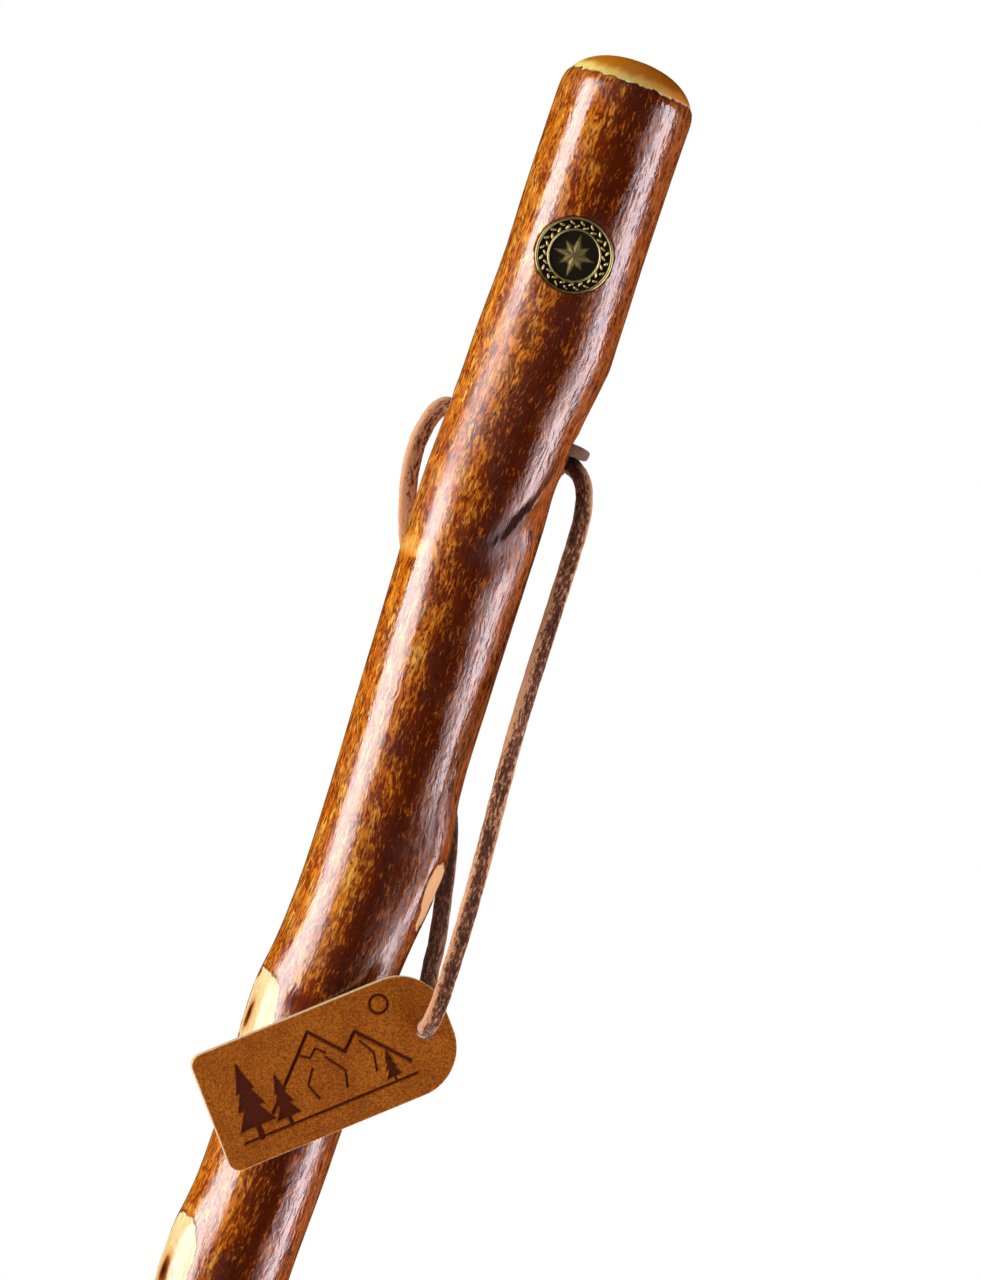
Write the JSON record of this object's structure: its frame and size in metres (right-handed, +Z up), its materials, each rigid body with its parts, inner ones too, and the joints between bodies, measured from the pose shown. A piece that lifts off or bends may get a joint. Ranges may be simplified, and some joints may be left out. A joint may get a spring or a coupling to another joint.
{
  "type": "hiking staff",
  "caption": "Bark-on hardwood hiking staff with trimmed branch knots, an inlaid medallion, a suede wrist lace carrying a leather tag, and a pull-off rubber tip.",
  "frame": {"origin": "middle of the rubber tip's sole, on the floor that the staff stands on", "axes": "+Z up along the staff, -Y towards the front with the medallion, +X to the right seen from the front"},
  "size_m": [0.0697, 0.0461, 1.397],
  "materials": {
    "bark_wood": "varnished bark, gloss",
    "aged_brass": "antiqued, satin",
    "suede": "suede, matt",
    "tag_leather": "smooth leather, satin",
    "tip_rubber": "moulded, matt",
    "washer_steel": "plated, satin"
  },
  "bodies": {
    "tip": {"rubber_tip": "tip_rubber", "tip_washer": "washer_steel"},
    "staff": {"shaft": "bark_wood", "medallion": "aged_brass", "lace_front": "suede", "lace_back": "suede", "lace_bore": "suede", "lace_knot": "suede"},
    "tag": {"tag": "tag_leather"}
  },
  "joints": [
    {"name": "tip_pull", "type": "slide", "parent": "tip", "child": "staff", "axis": [0, 0, 1], "range_m": [0, 0.035]},
    {"name": "tag_swing", "type": "hinge", "parent": "staff", "child": "tag", "pos_m": [0.0327, -0.01286, 1.1529], "axis": [0.2079, -0.9781, 0], "range_deg": [-40, 110]}
  ]
}
